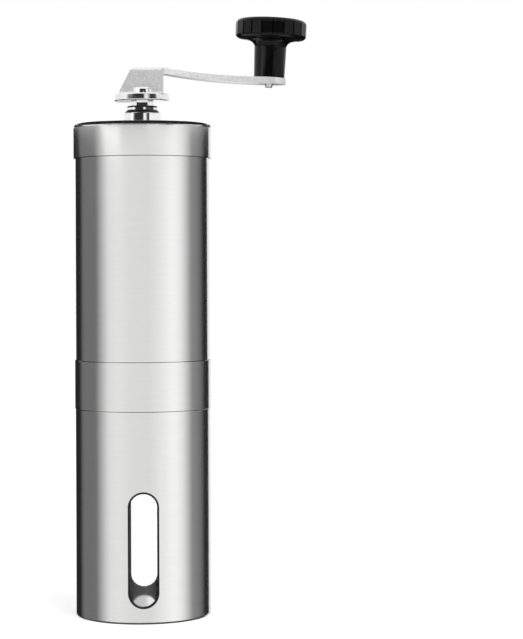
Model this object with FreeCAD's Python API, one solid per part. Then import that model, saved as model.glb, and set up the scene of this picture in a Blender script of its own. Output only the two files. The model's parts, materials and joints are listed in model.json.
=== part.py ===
import FreeCAD, Part
import math
import os

from FreeCAD import Vector

# Hand cranked burr coffee grinder, all sizes in millimetres, +Z up.
# The mill's axis is the Z axis and its foot stands on z = 0.
# The windows face -Y and +Y, and the crank arm points along +X.

# Clearances
press_gap = 0.02
slip_gap = 0.10
running_gap = 0.05
thrust_gap = 0.10
drive_gap = 0.08

# Grounds cup
cup_diameter = 49.0
cup_wall = 0.8
cup_height = 74.8
cup_foot_round = 1.0
cup_foot_lip = 3.0
window_width = 11.0
window_length = 41.1
window_sill = 5.6
window_lip = 0.65
window_lip_sink = 0.3
window_lip_depth = 1.0
floor_height = 4.6
floor_thickness = 0.8
liner_wall = 1.0
liner_top_gap = 0.5

# Hopper tube and the collar over its lower end
tube_step = 0.2
tube_wall = 0.7
tube_lip = 1.0
tube_exposed = 72.9
collar_wall = 0.38
collar_height = 17.7
collar_edge = 0.15

# Lid with its boss and nut
lid_wall = 0.6
lid_height = 12.6
lid_edge_round = 1.6
boss_diameter = 13.7
boss_height = 4.0
boss_edge = 0.3
bush_shank_diameter = 9.0
bush_shank_end = 0.6
lid_nut_flats = 13.0
lid_nut_height = 3.0

# Rings and nuts on the spindle, from the boss upwards
thrust_washer_diameter = 12.5
thrust_washer_height = 1.1
thrust_washer_edge = 0.8
slip_washer_diameter = 10.9
slip_washer_height = 0.8
lock_washer_diameter = 10.8
lock_washer_height = 0.5
jam_nut_flats = 7.0
jam_nut_height = 1.7
crank_nut_diameter = 6.7
crank_nut_height = 2.6
crank_nut_round = 0.8

# Crank spindle
spindle_diameter = 6.0
stud_diameter = 4.0
stud_end_cover = 0.9
socket_diameter = 10.0
socket_length = 13.0
socket_depth = 9.5
socket_engagement = 8.0

# Crank arm
hub_diameter = 20.0
hub_height = 2.7
hub_edge = 0.5
neck_front = 5.5
neck_left = 9.2
neck_right = 7.8
neck_lean = 5.2
neck_height = 10.3
neck_corner = 2.6
neck_fillet = 1.3
neck_fold = 1.6
neck_round = 1.0
neck_gusset = 1.6
neck_bevel = 0.6
arm_thickness = 2.1
arm_root_width = 9.0
arm_end_width = 12.0
arm_drop = 4.4
arm_end_slope = 2.6
crank_radius = 46.3

# Knob and its pin
knob_length = 21.2
knob_head_diameter = 26.0
knob_head_height = 6.95
knob_head_round = 2.0
knob_head_bevel = 1.6
knob_facets = 20
knob_flare_height = 3.6
knob_flare_out = 0.22
knob_flare_up = 0.70
knob_stem_top_diameter = 11.7
knob_stem_base_diameter = 11.2
knob_recess_diameter = 9.0
knob_recess_depth = 6.5
knob_cap_height = 2.6
pin_diameter = 4.0
pin_neck_diameter = 3.0
pin_head_diameter = 7.5
pin_head_height = 1.6
pin_tip_diameter = 2.4
pin_tip_length = 1.4

# Burr housing
spigot_depth = 8.0
spigot_wall = 1.6
flange_thickness = 0.8
housing_height = 31.0
throat_lip = 1.7
throat_height = 1.5
funnel_rim = 1.0
carrier_hub_diameter = 13.0
carrier_hub_height = 7.8
spoke_width = 4.0
spoke_height = 6.0
spoke_count = 3
spoke_turn = 60.0
grip_ring_thickness = 1.2
grip_ring_drop = 4.0

# Burrs
burr_setback = 3.5
burr_height = 14.0
burr_wall = 2.3
burr_gap_bottom = 0.45
burr_gap_top = 3.2
burr_base_lift = 0.3
inner_burr_bore = 12.0
inner_burr_wall = 1.3
inner_burr_teeth = 12
inner_tooth_depth_top = 1.9
inner_tooth_depth_bottom = 0.7
inner_burr_twist = 50.0
outer_burr_teeth = 24
outer_tooth_depth = 0.9
outer_burr_twist = -24.0
burr_levels = 5
tooth_land = 0.22
tooth_root = 0.45
retainer_thickness = 1.5
retainer_play = 0.6
screw_count = 3
screw_setback = 1.4
screw_diameter = 2.0
screw_length = 7.0
screw_head_diameter = 3.6
screw_head_height = 1.3

# Shaft, bushes and their upper carrier
shaft_diameter = 6.0
shaft_flats = 5.0
shaft_thread_diameter = 4.8
shaft_foot_length = 4.5
bush_wall = 1.5
bush_flange_diameter = 11.0
bush_flange_height = 1.0
spider_lift = 62.0
spider_ring_wall = 2.0
clip_diameter = 11.0
clip_thickness = 0.8
clip_groove_depth = 0.5
clip_mouth = 4.6
shaft_hex_drop = 10.0

# Inner burr's core, spring and grind adjuster
core_flange_diameter = 19.0
core_flange_height = 2.3
core_height = 10.0
core_drive_rise = 2.0
click_plate_diameter = 17.0
click_plate_height = 1.0
click_notches = 12
click_notch_diameter = 1.6
dial_diameter = 22.0
dial_height = 8.0
dial_grips = 9
dial_grip_radius = 3.0
dial_grip_depth = 1.3
dial_edge_round = 1.3
adjuster_nut_diameter = 9.0
adjuster_nut_height = 6.5
adjuster_rise = 0.6
spring_wire = 1.0
spring_diameter = 10.6
spring_turns = 6.0
spring_washer_diameter = 12.0
spring_washer_height = 0.6

# Radii shared by pieces that fit each other
cup_radius = cup_diameter / 2
cup_bore = cup_radius - cup_wall
tube_radius = cup_radius - tube_step
tube_bore = tube_radius - tube_wall
lid_bore = tube_radius + slip_gap
lid_radius = lid_bore + lid_wall
liner_radius = cup_bore - window_lip_depth - press_gap
collar_bore = tube_radius + press_gap
collar_radius = collar_bore + collar_wall
spigot_radius = cup_bore - slip_gap
spigot_bore = spigot_radius - spigot_wall
housing_radius = tube_bore - press_gap
burr_radius = spigot_bore - burr_setback
burr_seat_radius = burr_radius + press_gap
burr_bottom_radius = burr_radius - burr_wall
burr_top_radius = inner_burr_bore / 2 + inner_burr_wall + inner_tooth_depth_top + burr_gap_top
screw_circle_radius = burr_radius + screw_setback
shaft_radius = shaft_diameter / 2
bush_bore = shaft_radius + running_gap
bush_radius = bush_bore + bush_wall
spindle_radius = spindle_diameter / 2
stud_radius = stud_diameter / 2
carrier_hub_radius = carrier_hub_diameter / 2
core_radius = inner_burr_bore / 2 - press_gap

# Heights of the faces where pieces meet
joint_z = cup_height
tube_base_z = joint_z + flange_thickness
collar_top_z = joint_z + collar_height
lid_base_z = collar_top_z + tube_exposed
lid_top_z = lid_base_z + lid_height
lid_inner_z = lid_top_z - lid_wall
boss_top_z = lid_top_z + boss_height
thrust_washer_top_z = boss_top_z + thrust_washer_height
slip_washer_top_z = thrust_washer_top_z + slip_washer_height
shoulder_z = slip_washer_top_z + thrust_gap
lock_washer_top_z = shoulder_z + lock_washer_height
hub_base_z = lock_washer_top_z + jam_nut_height
hub_top_z = hub_base_z + hub_height
neck_top_z = hub_top_z + neck_height
bush_end_z = lid_inner_z - lid_nut_height - bush_shank_end
socket_top_z = bush_end_z - thrust_gap
socket_base_z = socket_top_z - socket_length
shaft_top_z = socket_base_z + socket_engagement
outer_burr_base_z = joint_z + retainer_thickness
outer_burr_top_z = outer_burr_base_z + burr_height
throat_top_z = outer_burr_top_z + throat_height
housing_top_z = joint_z + housing_height
carrier_hub_base_z = housing_top_z - carrier_hub_height
bush_top_z = housing_top_z + bush_flange_height
clip_base_z = bush_top_z + thrust_gap
burr_base_z = joint_z + burr_base_lift
burr_top_z = burr_base_z + burr_height
core_base_z = burr_base_z - core_flange_height
core_top_z = burr_base_z + core_height
click_plate_base_z = core_base_z - click_plate_height
dial_base_z = click_plate_base_z - dial_height
spring_top_z = carrier_hub_base_z - spring_washer_height - thrust_gap
spider_base_z = joint_z + spider_lift
spider_top_z = spider_base_z + carrier_hub_height
shaft_hex_base_z = shaft_top_z - shaft_hex_drop

origin = Vector(0, 0, 0)
up = Vector(0, 0, 1)


# Basic forms

def turned(outline):
    """Solid of revolution about the mill's axis from (radius, height) corners."""
    corners = [Vector(radius, 0, height) for radius, height in outline]
    face = Part.Face(Part.makePolygon(corners + corners[:1]))
    return face.revolve(origin, up, 360)


def ring(outer, inner, base, top):
    """Round ring with square edges."""
    return turned([(inner, base), (outer, base), (outer, top), (inner, top)])


def disc(radius, base, top):
    """Round bar along the mill's axis."""
    return Part.makeCylinder(radius, top - base, Vector(0, 0, base))


def hexagon(flats, base, top):
    """Hexagonal bar along the mill's axis, given by its width across flats."""
    corner = flats / math.sqrt(3)
    corners = [Vector(corner, 0, base)]
    for step in range(1, 7):
        angle = math.radians(60 * step)
        corners.append(Vector(corner * math.cos(angle), corner * math.sin(angle), base))
    return Part.Face(Part.makePolygon(corners)).extrude(Vector(0, 0, top - base))


def around(shape, count, first_angle=0.0):
    """Copies of a shape spaced evenly about the mill's axis."""
    copies = []
    for index in range(count):
        copy = shape.copy()
        copy.rotate(origin, up, first_angle + 360.0 * index / count)
        copies.append(copy)
    return copies


def rounded(shape, radius, circles):
    """Shape with its circular edges at the given (radius, height) places rounded."""
    chosen = []
    for edge in shape.Edges:
        curve = edge.Curve
        if not isinstance(curve, Part.Circle):
            continue
        for circle_radius, height in circles:
            if abs(curve.Radius - circle_radius) < 1e-4 and abs(curve.Center.z - height) < 1e-4:
                chosen.append(edge)
    return shape.makeFillet(radius, chosen)


def outline_face(start, steps):
    """Face in the XZ plane: a step is an end point, or a middle and an end point of an arc."""
    edges = []
    here = Vector(start[0], 0, start[1])
    first = here
    for step in steps:
        if isinstance(step[0], tuple):
            middle = Vector(step[0][0], 0, step[0][1])
            there = Vector(step[1][0], 0, step[1][1])
            edges.append(Part.Arc(here, middle, there).toShape())
        else:
            there = Vector(step[0], 0, step[1])
            edges.append(Part.LineSegment(here, there).toShape())
        here = there
    edges.append(Part.LineSegment(here, first).toShape())
    return Part.Face(Part.Wire(edges))


def quarter_arc(center, radius, middle_angle, end_angle):
    """Arc step of an outline about a centre, given by its middle and end angles in degrees."""
    points = []
    for angle in (middle_angle, end_angle):
        turn = math.radians(angle)
        points.append((center[0] + radius * math.cos(turn), center[1] + radius * math.sin(turn)))
    return tuple(points)


# Grounds cup

def make_window_cutter(inset):
    """Long window with round ends, right through the cup, drawn in by an inset."""
    half = window_width / 2 - inset
    sill = window_sill + inset
    head = window_sill + window_length - inset
    low = sill + half
    high = head - half
    window = outline_face((-half, low), [
        ((0, sill), (half, low)),
        (half, high),
        ((0, head), (-half, high)),
    ])
    window.translate(Vector(0, -cup_diameter, 0))
    return window.extrude(Vector(0, 2 * cup_diameter, 0))


def make_cup_shell():
    """Steel cup wall with a turned-in foot and two long windows with turned-in edges."""
    foot_inner = cup_radius - cup_foot_lip
    wall = turned([
        (foot_inner, 0), (cup_radius, 0), (cup_radius, cup_height), (cup_bore, cup_height),
        (cup_bore, cup_wall), (foot_inner, cup_wall),
    ])
    wall = rounded(wall, cup_foot_round, [(cup_radius, 0)])
    window = make_window_cutter(0)
    lip_band = ring(cup_radius - window_lip_sink, cup_bore - window_lip_depth, 0, cup_height)
    lip = lip_band.common(window.cut(make_window_cutter(window_lip)))
    return wall.cut(window).fuse(lip).removeSplitter()


def make_cup_floor():
    """Pressed floor pan whose skirt stands on the turned-in foot."""
    outer = cup_bore - press_gap
    inner = outer - floor_thickness
    under = floor_height - floor_thickness
    return turned([
        (0, under), (inner, under), (inner, cup_wall), (outer, cup_wall),
        (outer, floor_height), (0, floor_height),
    ])


def make_window_liner():
    """Clear sleeve that closes the windows, standing on the floor."""
    top = joint_z - spigot_depth - liner_top_gap
    return ring(liner_radius, liner_radius - liner_wall, floor_height, top)


# Hopper

def make_hopper_tube():
    """Steel tube with a turned-in rim that the lid rests on."""
    rim_inner = tube_bore - tube_lip
    under_rim = lid_inner_z - tube_wall
    tube = turned([
        (tube_bore, tube_base_z), (tube_radius, tube_base_z), (tube_radius, lid_inner_z),
        (rim_inner, lid_inner_z), (rim_inner, under_rim), (tube_bore, under_rim),
    ])
    return rounded(tube, lid_edge_round - lid_wall + slip_gap, [(tube_radius, lid_inner_z)])


def make_collar_band():
    """Thin steel sleeve over the lower end of the hopper tube."""
    low_edge = joint_z + collar_edge
    high_edge = collar_top_z - collar_edge
    edge_radius = collar_radius - collar_edge
    return turned([
        (collar_bore, joint_z), (edge_radius, joint_z), (collar_radius, low_edge),
        (collar_radius, high_edge), (edge_radius, collar_top_z), (collar_bore, collar_top_z),
    ])


def make_spokes(base, reach):
    """Three spokes from the axis out to a wall."""
    bar = Part.makeBox(reach, spoke_width, spoke_height, Vector(0, -spoke_width / 2, base))
    return around(bar, spoke_count, spoke_turn)


def make_burr_housing():
    """Plastic funnel with the burr seat, a spigot for the cup and a spoked hub."""
    throat_radius = burr_radius - throat_lip
    rim_radius = housing_radius - funnel_rim
    spigot_base = joint_z - spigot_depth
    shell = turned([
        (spigot_bore, spigot_base), (spigot_radius, spigot_base), (spigot_radius, joint_z),
        (tube_radius, joint_z), (tube_radius, tube_base_z), (housing_radius, tube_base_z),
        (housing_radius, housing_top_z), (rim_radius, housing_top_z),
        (throat_radius, throat_top_z), (throat_radius, outer_burr_top_z),
        (burr_seat_radius, outer_burr_top_z), (burr_seat_radius, outer_burr_base_z),
        (spigot_bore, outer_burr_base_z),
    ])
    spoke_base = housing_top_z - spoke_height
    spokes = make_spokes(spoke_base, housing_radius - funnel_rim / 2)
    hub = disc(carrier_hub_radius, carrier_hub_base_z, housing_top_z)
    housing = shell.fuse(spokes + [hub])
    bore = disc(bush_radius + press_gap, carrier_hub_base_z, housing_top_z)
    groove = make_ring_tube(press_gap)
    holes = around(make_screw_hole(), screw_count)
    return housing.cut([bore, groove] + holes).removeSplitter()


def make_ring_tube(gap):
    """Round ring in the spigot's groove, grown by a gap."""
    middle = spigot_radius + slip_gap / 2 - grip_ring_thickness / 2
    height = joint_z - grip_ring_drop
    return Part.makeTorus(middle, grip_ring_thickness / 2 + gap, Vector(0, 0, height))


def make_grip_ring():
    """Silicone ring that holds the cup on the spigot."""
    return make_ring_tube(0)


def make_screw_hole():
    """Pilot hole for one retainer screw."""
    hole = disc(screw_diameter / 2 + press_gap, joint_z, joint_z + screw_length + press_gap)
    hole.translate(Vector(screw_circle_radius, 0, 0))
    return hole


def make_burr_retainer():
    """Plastic ring that holds the outer burr up in its seat."""
    outer = spigot_bore - slip_gap
    bore = burr_bottom_radius + retainer_play
    plate = ring(outer, bore, joint_z, outer_burr_base_z)
    return plate.cut(around(make_screw_hole(), screw_count))


def make_retainer_screws():
    """Three pan head screws under the retainer."""
    head_base = joint_z - screw_head_height
    head = disc(screw_head_diameter / 2, head_base, joint_z)
    head = rounded(head, screw_head_height / 2, [(screw_head_diameter / 2, head_base)])
    shank = disc(screw_diameter / 2, joint_z, joint_z + screw_length)
    slot_depth = screw_head_height / 2
    slot = Part.makeBox(screw_head_diameter, slot_depth, slot_depth,
                        Vector(-screw_head_diameter / 2, -slot_depth / 2, head_base))
    screw = head.fuse(shank).cut(slot)
    screw.translate(Vector(screw_circle_radius, 0, 0))
    return Part.makeCompound(around(screw, screw_count))


def make_bush(base, seat):
    """Flanged bush pressed into a hub, its flange on the hub's top face."""
    flange_radius = bush_flange_diameter / 2
    return turned([
        (bush_bore, base), (bush_radius, base), (bush_radius, seat), (flange_radius, seat),
        (flange_radius, seat + bush_flange_height), (bush_bore, seat + bush_flange_height),
    ])


def make_top_spider():
    """Three-armed carrier of the upper bush, pressed into the hopper tube."""
    rim = ring(housing_radius, housing_radius - spider_ring_wall, spider_base_z,
               spider_base_z + spoke_height)
    spokes = make_spokes(spider_base_z, housing_radius - spider_ring_wall / 2)
    hub = disc(carrier_hub_radius, spider_base_z, spider_top_z)
    bore = disc(bush_radius + press_gap, spider_base_z, spider_top_z)
    return rim.fuse(spokes + [hub]).cut(bore).removeSplitter()


# Burrs

def burr_cone_radius(height):
    """Radius of the outer burr's tooth crests at a height."""
    share = (height - outer_burr_base_z) / burr_height
    return burr_bottom_radius + share * (burr_top_radius - burr_bottom_radius)


def tooth_wire(crest, root, teeth, turn, height):
    """Saw-toothed outline at a height, with a steep and a shallow flank on each tooth."""
    pitch = 360.0 / teeth
    corners = []
    for index in range(teeth):
        for radius, share in ((crest, 0), (crest, tooth_land), (root, tooth_root)):
            angle = math.radians(turn + pitch * (index + share))
            corners.append(Vector(radius * math.cos(angle), radius * math.sin(angle), height))
    return Part.makePolygon(corners + corners[:1])


def make_inner_burr():
    """Ceramic cone whose teeth wind down and grow finer towards the base."""
    sections = []
    for level in range(burr_levels):
        share = level / (burr_levels - 1)
        height = burr_base_z + share * burr_height
        gap = burr_gap_bottom + share * (burr_gap_top - burr_gap_bottom)
        depth = inner_tooth_depth_bottom + share * (inner_tooth_depth_top - inner_tooth_depth_bottom)
        crest = burr_cone_radius(height) - gap
        turn = inner_burr_twist * share
        sections.append(tooth_wire(crest, crest - depth, inner_burr_teeth, turn, height))
    cone = Part.makeLoft(sections, True, True)
    return cone.cut(disc(inner_burr_bore / 2, burr_base_z, burr_top_z))


def make_outer_burr():
    """Ceramic ring whose bore carries finer teeth leaning the other way."""
    sections = []
    for level in range(burr_levels):
        share = level / (burr_levels - 1)
        height = outer_burr_base_z + share * burr_height
        crest = burr_cone_radius(height)
        turn = outer_burr_twist * share
        sections.append(tooth_wire(crest, crest + outer_tooth_depth, outer_burr_teeth, turn, height))
    bore = Part.makeLoft(sections, True, True)
    return disc(burr_radius, outer_burr_base_z, outer_burr_top_z).cut(bore)


def make_burr_core():
    """Plastic core that carries the inner burr and slides on the shaft's hex."""
    flange_radius = core_flange_diameter / 2
    core = turned([
        (0, core_base_z), (flange_radius, core_base_z), (flange_radius, burr_base_z),
        (core_radius, burr_base_z), (core_radius, core_top_z), (0, core_top_z),
    ])
    return core.cut(hexagon(shaft_flats + 2 * drive_gap, core_base_z, core_top_z))


def make_click_plate():
    """Steel plate on the shaft's hex, notched where the dial clicks."""
    radius = click_plate_diameter / 2
    plate = disc(radius, click_plate_base_z, core_base_z)
    notch = disc(click_notch_diameter / 2, click_plate_base_z, core_base_z)
    notch.translate(Vector(radius, 0, 0))
    drive = hexagon(shaft_flats + 2 * drive_gap, click_plate_base_z, core_base_z)
    return plate.cut(around(notch, click_notches) + [drive])


def make_adjuster_dial():
    """Grip wheel under the inner burr, with scalloped sides and a seat for its nut."""
    radius = dial_diameter / 2
    wheel = disc(radius, dial_base_z, click_plate_base_z)
    wheel = rounded(wheel, dial_edge_round, [(radius, dial_base_z)])
    scallop = disc(dial_grip_radius, dial_base_z, click_plate_base_z)
    scallop.translate(Vector(radius + dial_grip_radius - dial_grip_depth, 0, 0))
    shaft_way = disc(shaft_radius + slip_gap, dial_base_z, click_plate_base_z)
    nut_top = dial_base_z + adjuster_nut_height
    nut_seat = disc(adjuster_nut_diameter / 2 + press_gap, dial_base_z, nut_top)
    return wheel.cut(around(scallop, dial_grips) + [shaft_way, nut_seat])


def make_adjuster_nut():
    """Brass nut pressed into the dial from below."""
    bore = shaft_thread_diameter / 2 + running_gap
    return ring(adjuster_nut_diameter / 2, bore, dial_base_z, dial_base_z + adjuster_nut_height)


# Shaft

def make_main_shaft():
    """Steel shaft: threaded foot, hex for the burr, round journals and a hex top."""
    foot_z = dial_base_z - shaft_foot_length
    drive_base_z = dial_base_z + adjuster_nut_height + adjuster_rise
    drive_top_z = core_top_z + core_drive_rise
    foot = disc(shaft_thread_diameter / 2, foot_z, drive_base_z)
    drive = hexagon(shaft_flats, drive_base_z, drive_top_z)
    journal = disc(shaft_radius, drive_top_z, shaft_hex_base_z)
    top = hexagon(shaft_flats, shaft_hex_base_z, shaft_top_z)
    groove = ring(shaft_radius, shaft_radius - clip_groove_depth, clip_base_z,
                  clip_base_z + clip_thickness)
    return foot.fuse([drive, journal, top]).cut(groove)


def make_shaft_clip():
    """Open retaining ring in the shaft's groove, above the lower bush."""
    inner = shaft_radius - clip_groove_depth + press_gap
    clip = ring(clip_diameter / 2, inner, clip_base_z, clip_base_z + clip_thickness)
    mouth = Part.makeBox(clip_diameter, clip_mouth, clip_thickness,
                         Vector(0, -clip_mouth / 2, clip_base_z))
    return clip.cut(mouth)


def make_spring_washer():
    """Thin washer between the spring and the fixed hub."""
    return ring(spring_washer_diameter / 2, shaft_radius + slip_gap, spring_top_z,
                spring_top_z + spring_washer_height)


def arc_from_tangent(start, tangent, end):
    """Arc that leaves start along a tangent and ends at a point."""
    chord = end - start
    half = chord.Length / 2
    chord.normalize()
    side = tangent - chord * tangent.dot(chord)
    rise = half * math.tan(math.acos(tangent.dot(chord)) / 2)
    side.normalize()
    middle = (start + end) * 0.5 + side * rise
    return Part.Arc(start, middle, end).toShape()


def helix_point(radius, pitch, base, turns):
    """Point and unit tangent of a helix about the mill's axis."""
    angle = 2 * math.pi * turns
    climb = pitch / (2 * math.pi)
    point = Vector(radius * math.cos(angle), radius * math.sin(angle), base + pitch * turns)
    tangent = Vector(-radius * math.sin(angle), radius * math.cos(angle), climb)
    tangent.normalize()
    return point, tangent


def make_burr_spring():
    """Compression spring between the burr's core and the washer, one unbroken wire."""
    radius = (spring_diameter - spring_wire) / 2
    base = core_top_z + spring_wire / 2
    pitch = (spring_top_z - core_top_z - spring_wire) / spring_turns
    edges = []
    quarters = int(round(spring_turns * 4))
    for index in range(quarters):
        start, leave = helix_point(radius, pitch, base, index / 4)
        end, arrive = helix_point(radius, pitch, base, (index + 1) / 4)
        span = end - start
        both = leave + arrive
        bend = 2 * (1 - leave.dot(arrive))
        reach = (math.sqrt(span.dot(both) ** 2 + bend * span.dot(span)) - span.dot(both)) / bend
        meet = (start + end + (leave - arrive) * reach) * 0.5
        edges.append(arc_from_tangent(start, leave, meet))
        edges.append(arc_from_tangent(end, arrive * -1, meet))
    path = Part.Wire(Part.__sortEdges__(edges))
    start, leave = helix_point(radius, pitch, base, 0)
    section = Part.Wire(Part.makeCircle(spring_wire / 2, start, leave))
    points = [helix_point(radius, pitch, base, step / 48)[0] for step in range(12 * quarters + 1)]
    apart = min(a.distanceToPoint(b) for i, a in enumerate(points) for b in points[i + 24:])
    print("spring: least gap between turns %.2f mm" % (apart - spring_wire))
    return path.makePipeShell([section], True, False)


# Lid

def make_lid_shell():
    """Steel cap over the hopper tube with a hole for the bush."""
    hole = bush_shank_diameter / 2 + press_gap
    cap = turned([
        (hole, lid_inner_z), (lid_bore, lid_inner_z), (lid_bore, lid_base_z),
        (lid_radius, lid_base_z), (lid_radius, lid_top_z), (hole, lid_top_z),
    ])
    cap = rounded(cap, lid_edge_round - lid_wall, [(lid_bore, lid_inner_z)])
    return rounded(cap, lid_edge_round, [(lid_radius, lid_top_z)])


def make_lid_bush():
    """Polished boss on the lid with a shank through it for the spindle."""
    bore = spindle_radius + running_gap
    shank = bush_shank_diameter / 2
    boss = boss_diameter / 2
    return turned([
        (bore, bush_end_z), (shank, bush_end_z), (shank, lid_top_z), (boss, lid_top_z),
        (boss, boss_top_z - boss_edge), (boss - boss_edge, boss_top_z), (bore, boss_top_z),
    ])


def make_lid_nut():
    """Nut that clamps the bush to the lid from inside."""
    nut_base = lid_inner_z - lid_nut_height
    nut = hexagon(lid_nut_flats, nut_base, lid_inner_z)
    return nut.cut(disc(bush_shank_diameter / 2 + press_gap, nut_base, lid_inner_z))


def make_thrust_washer():
    """Black chamfered ring that the spindle's rings turn on."""
    radius = thrust_washer_diameter / 2
    bore = spindle_radius + running_gap
    return turned([
        (bore, boss_top_z), (radius, boss_top_z),
        (radius, thrust_washer_top_z - thrust_washer_edge),
        (radius - thrust_washer_edge, thrust_washer_top_z), (bore, thrust_washer_top_z),
    ])


def make_slip_washer():
    """Polished ring above the thrust washer."""
    return ring(slip_washer_diameter / 2, spindle_radius + running_gap, thrust_washer_top_z,
                slip_washer_top_z)


# Crank

def make_crank_spindle():
    """Spindle through the lid: hex socket below, threaded stud above the shoulder."""
    stud_top_z = hub_top_z + crank_nut_height - stud_end_cover
    socket = disc(socket_diameter / 2, socket_base_z, socket_top_z)
    body = disc(spindle_radius, socket_top_z, shoulder_z)
    stud = disc(stud_radius, shoulder_z, stud_top_z)
    hole = hexagon(shaft_flats + 2 * drive_gap, socket_base_z, socket_base_z + socket_depth)
    return socket.fuse([body, stud]).cut(hole)


def make_lock_washer():
    """Thin dark washer on the spindle's shoulder."""
    return ring(lock_washer_diameter / 2, stud_radius + press_gap, shoulder_z, lock_washer_top_z)


def make_jam_nut():
    """Hex nut that the crank's hub is tightened against."""
    nut = hexagon(jam_nut_flats, lock_washer_top_z, hub_base_z)
    return nut.cut(disc(stud_radius + press_gap, lock_washer_top_z, hub_base_z))


def make_crank_nut():
    """Round nut on the hub with a domed edge, closed at the top."""
    radius = crank_nut_diameter / 2
    nut_top = hub_top_z + crank_nut_height
    nut = rounded(disc(radius, hub_top_z, nut_top), crank_nut_round, [(radius, nut_top)])
    return nut.cut(disc(stud_radius + press_gap, hub_top_z, nut_top - stud_end_cover))


def knob_place(shape):
    """Shape made about its own axis, moved onto the end of the crank arm."""
    placed = shape.copy()
    placed.rotate(origin, Vector(0, 1, 0), arm_end_slope)
    placed.translate(Vector(crank_radius, 0, neck_top_z - arm_drop))
    return placed


def tangent_touch(point, center, radius, side):
    """Point where a line from a corner touches a circle, on its left (+1) or right (-1)."""
    run = center - point
    turn = math.atan2(run.y, run.x) + side * math.asin(radius / run.Length)
    reach = math.sqrt(run.Length ** 2 - radius ** 2)
    return point + Vector(math.cos(turn), math.sin(turn), 0) * reach


def make_arm_plan():
    """Outline of the arm from above: narrow behind the neck, round at the knob."""
    end_radius = arm_end_width / 2
    end = Vector(crank_radius, 0, 0)
    left = neck_lean - neck_left + neck_setback()
    front_left = Vector(left, neck_front + neck_round, 0)
    front_right = Vector(neck_right, neck_front + neck_bevel, 0)
    back_right = Vector(neck_right, neck_front + arm_root_width, 0)
    back_left = Vector(left, neck_reach(), 0)
    front_touch = tangent_touch(front_right, end, end_radius, -1)
    back_touch = tangent_touch(back_right, end, end_radius, 1)
    far = end + Vector(end_radius, 0, 0)
    edges = [
        Part.LineSegment(front_left, front_right).toShape(),
        Part.LineSegment(front_right, front_touch).toShape(),
        Part.Arc(front_touch, far, back_touch).toShape(),
        Part.LineSegment(back_touch, back_right).toShape(),
        Part.LineSegment(back_right, back_left).toShape(),
        Part.LineSegment(back_left, front_left).toShape(),
    ]
    return Part.Face(Part.Wire(edges))


def make_arm_strip():
    """Flat arm that bows down from the neck to a straight pad under the knob."""
    slope = math.tan(math.radians(arm_end_slope))
    pad = arm_end_width / 2
    left = neck_lean - neck_left + neck_setback()
    knee = (neck_right, neck_top_z)
    pad_start = (crank_radius - pad, neck_top_z - arm_drop + pad * slope)
    pad_end = (crank_radius + 2 * pad, neck_top_z - arm_drop - 2 * pad * slope)
    run = pad_start[0] - knee[0]
    fall = knee[1] - pad_start[1]
    chord_slope = math.atan2(fall, run)
    half_turn = chord_slope - math.radians(arm_end_slope)
    sag = math.hypot(run, fall) / 2 * math.tan(half_turn / 2)
    bow = ((knee[0] + pad_start[0]) / 2 - sag * math.sin(chord_slope),
           (knee[1] + pad_start[1]) / 2 - sag * math.cos(chord_slope))

    def below(point):
        return (point[0], point[1] - arm_thickness)

    profile = outline_face((left, neck_top_z), [
        knee, (bow, pad_start), pad_end, below(pad_end), below(pad_start),
        (below(bow), below(knee)), below((left, neck_top_z)),
    ])
    depth = crank_radius + arm_end_width
    profile.translate(Vector(0, -depth, 0))
    band = profile.extrude(Vector(0, 2 * depth, 0))
    plan = make_arm_plan()
    plan.translate(Vector(0, 0, hub_base_z))
    return band.common(plan.extrude(Vector(0, 0, 2 * neck_height + hub_height)))


def make_neck():
    """Upright plate behind the nut, with a leaning edge and a rounded corner."""
    lean = math.atan2(neck_height, neck_lean)
    setback = neck_setback()
    corner_x = neck_lean - neck_left
    on_edge = (corner_x - setback * math.cos(lean), neck_top_z - setback * math.sin(lean))
    center = (corner_x + setback, neck_top_z - neck_corner)
    on_top = (corner_x + setback, neck_top_z)
    middle_angle = 90 + math.degrees(lean) / 2
    corner_middle = quarter_arc(center, neck_corner, middle_angle, 90)[0]
    under_arm = neck_top_z - arm_thickness
    fillet_center = (neck_right + neck_fillet, under_arm - neck_fillet)
    fillet = quarter_arc(fillet_center, neck_fillet, 135, 180)
    plate = outline_face((-neck_left, hub_base_z), [
        (-neck_left, hub_top_z), on_edge, (corner_middle, on_top), (neck_right, neck_top_z),
        (neck_right + neck_fillet, under_arm), fillet, (neck_right, hub_base_z),
    ])
    neck = plate.extrude(Vector(0, neck_reach(), 0))
    return neck.common(make_neck_fold()).common(make_neck_plan())


def neck_setback():
    """Length of the neck's top and leaning edge that its rounded corner takes up."""
    lean = math.atan2(neck_height, neck_lean)
    return neck_corner * math.tan(lean / 2)


def neck_reach():
    """Depth behind the axis at which the neck has turned into the flat arm."""
    return neck_front + arm_thickness + neck_gusset


def make_neck_plan():
    """Neck from above, with its front right edge bevelled."""
    right = neck_right + neck_fillet
    back = neck_reach()
    corners = [
        Vector(-neck_left, 0, hub_base_z), Vector(neck_right - neck_bevel, 0, hub_base_z),
        Vector(neck_right - neck_bevel, neck_front, hub_base_z),
        Vector(right, neck_front + neck_bevel + neck_fillet, hub_base_z),
        Vector(right, back, hub_base_z), Vector(-neck_left, back, hub_base_z),
    ]
    plan = Part.Face(Part.makePolygon(corners + corners[:1]))
    return plan.extrude(Vector(0, 0, hub_height + neck_height))


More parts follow.
